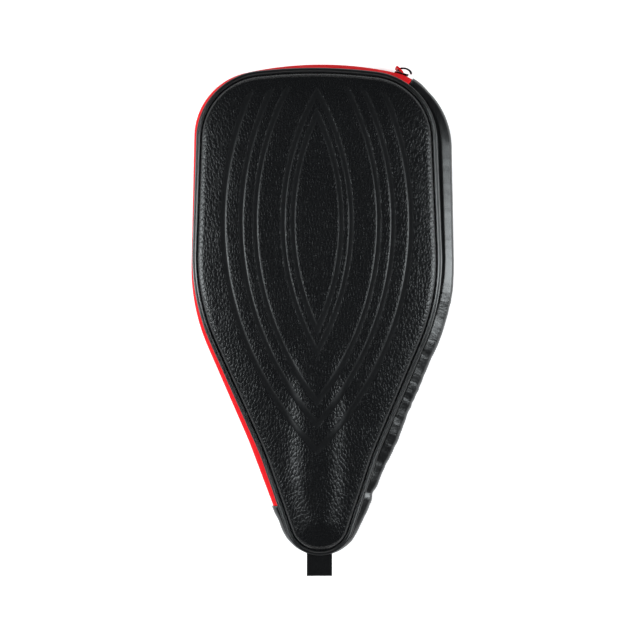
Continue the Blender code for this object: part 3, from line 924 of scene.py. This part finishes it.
# Teeth: a red nylon coil along the inner side of each tape.
red_nylon = Finish("red_nylon_coil", Roughness=0.35, Specular_IOR_Level=0.5)
dye = red_nylon.noise(red_nylon.places("Object"), 500.0)
red_nylon.surface("Base Color", red_nylon.blend(dye, (0.35, 0.006, 0.01, 1), (0.6, 0.014, 0.02, 1)))
COIL_IN = 2.3 * mm
COIL_PITCH = 1.3 * mm
COIL_TURN_POINTS = 7
COIL_THICKNESS = 0.66 * mm
COIL_OUT, COIL_UP = 0.62 * mm, 0.95 * mm


def zip_coil(name, side):
    """A flattened helix along the inner side of one tape, as a thin tube."""
    centre_line = np.array([wall_point(k, side * 0.13, -COIL_IN) for k in zip_run])
    lengths = lengths_along(centre_line[:, :2])
    turns = lengths[-1] / COIL_PITCH
    places = np.linspace(0, lengths[-1], int(turns * COIL_TURN_POINTS))
    on_line = np.stack([np.interp(places, lengths, centre_line[:, axis]) for axis in range(3)], axis=1)
    out = np.stack([np.interp(places, lengths, edge_normal[zip_run][:, axis]) for axis in (0, 1)], axis=1)
    angle = places / COIL_PITCH * math.tau
    wave_out = COIL_OUT * np.cos(angle)
    wave_z = COIL_UP * np.sin(angle)
    points = on_line + np.column_stack([out * wave_out[:, None], wave_z])
    line = bpy.data.curves.new(name, "CURVE")
    line.dimensions = "3D"
    line.bevel_depth = COIL_THICKNESS / 2
    line.bevel_resolution = 0
    line.use_fill_caps = True
    spline = line.splines.new("POLY")
    spline.points.add(len(points) - 1)
    spline.points.foreach_set("co", np.column_stack([points, np.ones(len(points))]).ravel())
    item = bpy.data.objects.new(name, line)
    bpy.context.scene.collection.objects.link(item)
    clear_selection()
    item.select_set(True)
    bpy.context.view_layer.objects.active = item
    bpy.ops.object.convert(target="MESH")
    item = bpy.context.object
    item.data.shade_smooth()
    give_material(item, red_nylon.material)
    return item


front_coil = zip_coil("zip_coil_upper", 1)
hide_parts("zip_coil_front")
bends_with_flap(front_coil)
back_coil = zip_coil("zip_coil_lower", -1)
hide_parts("zip_coil_back")
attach(back_coil, "case")

# ----------------------------------------
# Seam binding: black grosgrain tape folded over the raw edges inside each seam and sewn through, so that
# no cut leather or foam shows when the case is open.


def grosgrain(name, source, ribs_per_m):
    """Black ribbed ribbon, with fuzz between its ribs."""
    cloth = Finish(name, Roughness=0.8, Specular_IOR_Level=0.1)
    spot = cloth.places(source)
    fuzz = cloth.noise(spot, ribs_per_m * 2, 3.0)
    rib_inputs = {"Vector": spot, "Scale": ribs_per_m / 3, "Distortion": 0.4}
    ribs = cloth.node("TexWave", {"bands_direction": "X"}, rib_inputs)
    shade = ribs * 0.6 + fuzz * 0.4
    cloth.surface("Base Color", cloth.blend(shade, (0.002, 0.002, 0.0022, 1), (0.006, 0.006, 0.0065, 1)))
    cloth.bumps((ribs, 0.6, 0.2 * mm), (fuzz, 0.3, 0.1 * mm))
    return cloth.material


binding_cloth = grosgrain("black_binding", "UV", 900.0)
# The section of the folded tape in millimetres: out from the panel's edge and down from the seam.
BINDING_PROFILE = [(-1.3, 1.3), (-1.3, 2.5), (-1.7, 2.8), (-5.6, 2.8), (-6, 2.5), (-6, 1.7), (-5.6, 1.3)]


def binding(name, seam_z, facing):
    """The bias tape in the seam, facing the inside of the case."""
    profile = np.array(BINDING_PROFILE)[:: -facing] * mm
    rows = []
    for out, drop in profile:
        ring = edge + edge_normal * out
        rows.append(np.column_stack([ring, np.full(EDGE_POINTS, seam_z - facing * drop)]))
    item = loft(name, rows)
    along = lengths_along(edge)
    flat = [(length, turn * 1.5 * mm) for turn in range(len(rows)) for length in along]
    set_uv(item, np.array(flat), along[-1])
    give_material(item, binding_cloth)
    return item


front_binding = binding("front_binding", front_seam_z, 1)
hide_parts("front_seam_binding_fixed", "front_seam_binding_flap")
bends_with_flap(front_binding)
back_binding = binding("back_binding", back_seam_z, -1)
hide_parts("back_seam_binding")
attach(back_binding, "case")

# ----------------------------------------
# Slider and pull: a black plated slider with a wire bridge that rides on the two tapes, and a flat red
# rubber tab threaded on the bridge. They are the CAD pieces with their edges rounded.

gunmetal = Finish("black_plated_metal", Metallic=1.0)
metal_wear = gunmetal.noise(gunmetal.places("Object"), 700.0, 4.0, 0.6)
worn_plating = gunmetal.blend(metal_wear, (0.012, 0.012, 0.014, 1), (0.07, 0.07, 0.075, 1))
gunmetal.surface("Base Color", worn_plating)
gunmetal.surface("Roughness", 0.18 + metal_wear * 0.16)
red_tab = Finish("red_pull_tab", Roughness=0.5, Specular_IOR_Level=0.12)
tab_mottle = red_tab.noise(red_tab.places("Object"), 600.0, 3.0)
red_tab.surface("Base Color", red_tab.blend(tab_mottle, (0.58, 0.004, 0.006, 1), (0.78, 0.008, 0.012, 1)))
red_tab.bumps((tab_mottle, 0.2, 0.08 * mm))


def rounded_copy(node, name, bevel, levels, material):
    """A CAD piece with its loose triangles merged and its edges rounded."""
    source = frame["nodes"][node]
    data = source.data.copy()
    item = bpy.data.objects.new(name, data)
    bpy.context.scene.collection.objects.link(item)
    clear_selection()
    item.select_set(True)
    bpy.context.view_layer.objects.active = item
    bpy.ops.object.mode_set(mode="EDIT")
    bpy.ops.mesh.select_all(action="SELECT")
    bpy.ops.mesh.remove_doubles(threshold=0.002 * mm)
    bpy.ops.mesh.dissolve_limited(angle_limit=math.radians(2))
    bpy.ops.object.mode_set(mode="OBJECT")
    round_edges = item.modifiers.new("round", "BEVEL")
    round_edges.width = bevel
    round_edges.segments = levels
    round_edges.limit_method = "ANGLE"
    round_edges.angle_limit = math.radians(35)
    bpy.ops.object.modifier_apply(modifier=round_edges.name)
    bpy.ops.object.shade_smooth_by_angle(angle=math.radians(40))
    give_material(item, material)
    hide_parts(node)
    return item


# The plated casting is a little fuller than its plain solid, so each piece is drawn out along its length
# from the place where the tab hangs on the wire.
pull_hinge = next(joint for joint in frame["joints"] if joint["name"] == "pull_swing")
hang_at = np.array(pull_hinge["pos_m"])
wire_way = np.array(pull_hinge["axis"])
tab_way = np.array((wire_way[1], -wire_way[0], 0))
SLIDER_WAY = np.array((0.972, -0.235, 0))


def draw_out(item, way, factor, shift=0.0, fuller=0.0):
    """Stretches a piece along one direction about the place where the tab hangs, and thickens it."""
    places = points_of(item)
    normals = np.array([vertex.normal[:] for vertex in item.data.vertices])
    along = (places - hang_at) @ way
    set_points(item, places + np.outer(along * (factor - 1) + shift, way) + normals * fuller)


slider = rounded_copy("zip_slider", "zip_slider_body", 0.22 * mm, 2, gunmetal.material)
draw_out(slider, SLIDER_WAY, 1.14, -0.6 * mm)
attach(slider, "slider")
bridge = rounded_copy("zip_slider_bridge", "zip_slider_wire_bridge", 0.1 * mm, 1, gunmetal.material)
draw_out(bridge, SLIDER_WAY, 1.36, 0, 0.16 * mm)
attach(bridge, "slider")
pull = rounded_copy("zip_pull", "zip_pull_tab", 0.3 * mm, 3, red_tab.material)
draw_out(pull, tab_way, 1.3, 0.7 * mm)
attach(pull, "pull")

# ----------------------------------------
# Hang loop: black ribbed webbing folded in two with its ends sewn into the seam at the tip, so that it
# stands open in a narrow eye.

webbing = grosgrain("black_webbing", "Object", 700.0)
loop_low, loop_high = (np.array(corner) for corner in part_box("tip_loop"))
LOOP_STEPS = 14
LOOP_THICKNESS = 1.5 * mm
LOOP_COLUMNS = 24
LOOP_HALF_WIDTH = 11.5 * mm
LOOP_SHIFT = 2.2 * mm
LOOP_PLY_GAP = 0.1 * mm


def loop_section():
    """The line that the webbing follows from the seam out and back: a place along y, and a height."""
    length = loop_high[1] - loop_low[1]
    half = (loop_high[2] - loop_low[2]) / 2
    mid = (loop_high[2] + loop_low[2]) / 2
    straight = length - half
    closed = LOOP_THICKNESS + LOOP_PLY_GAP
    leg = [(-5 * mm, closed)]
    for step in range(LOOP_STEPS + 1):
        share = step / LOOP_STEPS
        spread = closed + (half - closed) * math.sin(share * math.pi / 2)
        leg.append((straight * share, spread))
    for degrees in range(78, -1, -13):
        turn = math.radians(degrees)
        leg.append((straight + half * math.cos(turn), half * math.sin(turn)))
    upper = [(loop_high[1] - along, mid + spread) for along, spread in leg]
    lower = [(loop_high[1] - along, mid - spread) for along, spread in leg[:-1]]
    return upper + lower[::-1]


loop_across = np.linspace(-LOOP_HALF_WIDTH, LOOP_HALF_WIDTH, LOOP_COLUMNS + 1) + LOOP_SHIFT
loop_rows = [[(x, y, z) for x in loop_across] for y, z in loop_section()]
hang_loop = loft("webbing_hang_loop", loop_rows, closed_rows=False, closed_line=False)
bpy.context.view_layer.objects.active = hang_loop
strap = hang_loop.modifiers.new("webbing", "SOLIDIFY")
strap.thickness = LOOP_THICKNESS
strap.offset = 1
bpy.ops.object.modifier_apply(modifier=strap.name)
soft_edge = hang_loop.modifiers.new("edge", "BEVEL")
soft_edge.width = 0.35 * mm
soft_edge.segments = 2
soft_edge.limit_method = "ANGLE"
soft_edge.angle_limit = math.radians(60)
bpy.ops.object.modifier_apply(modifier=soft_edge.name)
give_material(hang_loop, webbing)
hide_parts("tip_loop")
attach(hang_loop, "case")

# ----------------------------------------
# Floor, lights and camera: pale paper, a long softbox to each side for the shine on the shoulders and the
# piping, a faint fill at each end, and a camera straight above.

clear_selection()
FLOOR_SIZE = 12
FLOOR_GAP = 0.2 * mm
bpy.ops.mesh.primitive_plane_add(size=FLOOR_SIZE, location=(0, 0, -FLOOR_GAP))
floor = bpy.context.object
floor.name = "studio_floor"
paper = Finish("pale_paper", Roughness=0.9)
paper_fibres = paper.noise(paper.places("Object"), 40.0)
paper.surface("Base Color", paper.blend(paper_fibres, (0.74, 0.74, 0.74, 1), (0.78, 0.78, 0.78, 1)))
paper.shader.inputs["Emission Color"].default_value = (1, 1, 1, 1)
paper.shader.inputs["Emission Strength"].default_value = 0.66
give_material(floor, paper.material)

world = bpy.data.worlds.new("studio")
bpy.context.scene.world = world
world.use_nodes = True
sky = world.node_tree.nodes["Background"].inputs
sky["Color"].default_value = (0.9, 0.95, 1, 1)
sky["Strength"].default_value = 0.05


def softbox(name, place, size, power, colour=(1, 1, 1)):
    """A rectangular light that faces the case."""
    light = bpy.data.lights.new(name, "AREA")
    light.shape = "RECTANGLE"
    light.size, light.size_y = size
    light.energy = power
    light.color = colour
    item = bpy.data.objects.new(name, light)
    bpy.context.scene.collection.objects.link(item)
    item.location = place
    item.rotation_euler = (-Vector(place)).to_track_quat("-Z", "Y").to_euler()


COOL_WHITE = (0.92, 0.98, 1)
STRIP = (0.5, 2.3)
FILL = (2.2, 0.5)
softbox("left_strip", (-1.65, 0, 0.95), STRIP, 46, COOL_WHITE)
softbox("right_strip", (1.7, 0, 0.95), STRIP, 40, COOL_WHITE)
softbox("head_fill", (0, 2.2, 0.9), FILL, 6)
softbox("tip_fill", (0, -2.2, 0.9), FILL, 8)

# The camera is far enough off to see this width at the height of the front seam.
FRAME_WIDTH = 582.4 * mm
LENS = 100.0
SENSOR = 36.0
VIEW_CENTRE = Vector((2.7 * mm, -10.9 * mm, front_seam_z))
camera_data = bpy.data.cameras.new("camera")
camera_data.lens = LENS
camera_data.sensor_width = SENSOR
camera = bpy.data.objects.new("camera", camera_data)
bpy.context.scene.collection.objects.link(camera)
camera.location = VIEW_CENTRE + Vector((0, 0, FRAME_WIDTH * LENS / SENSOR))
bpy.context.scene.camera = camera
bpy.context.scene.view_settings.view_transform = "Standard"
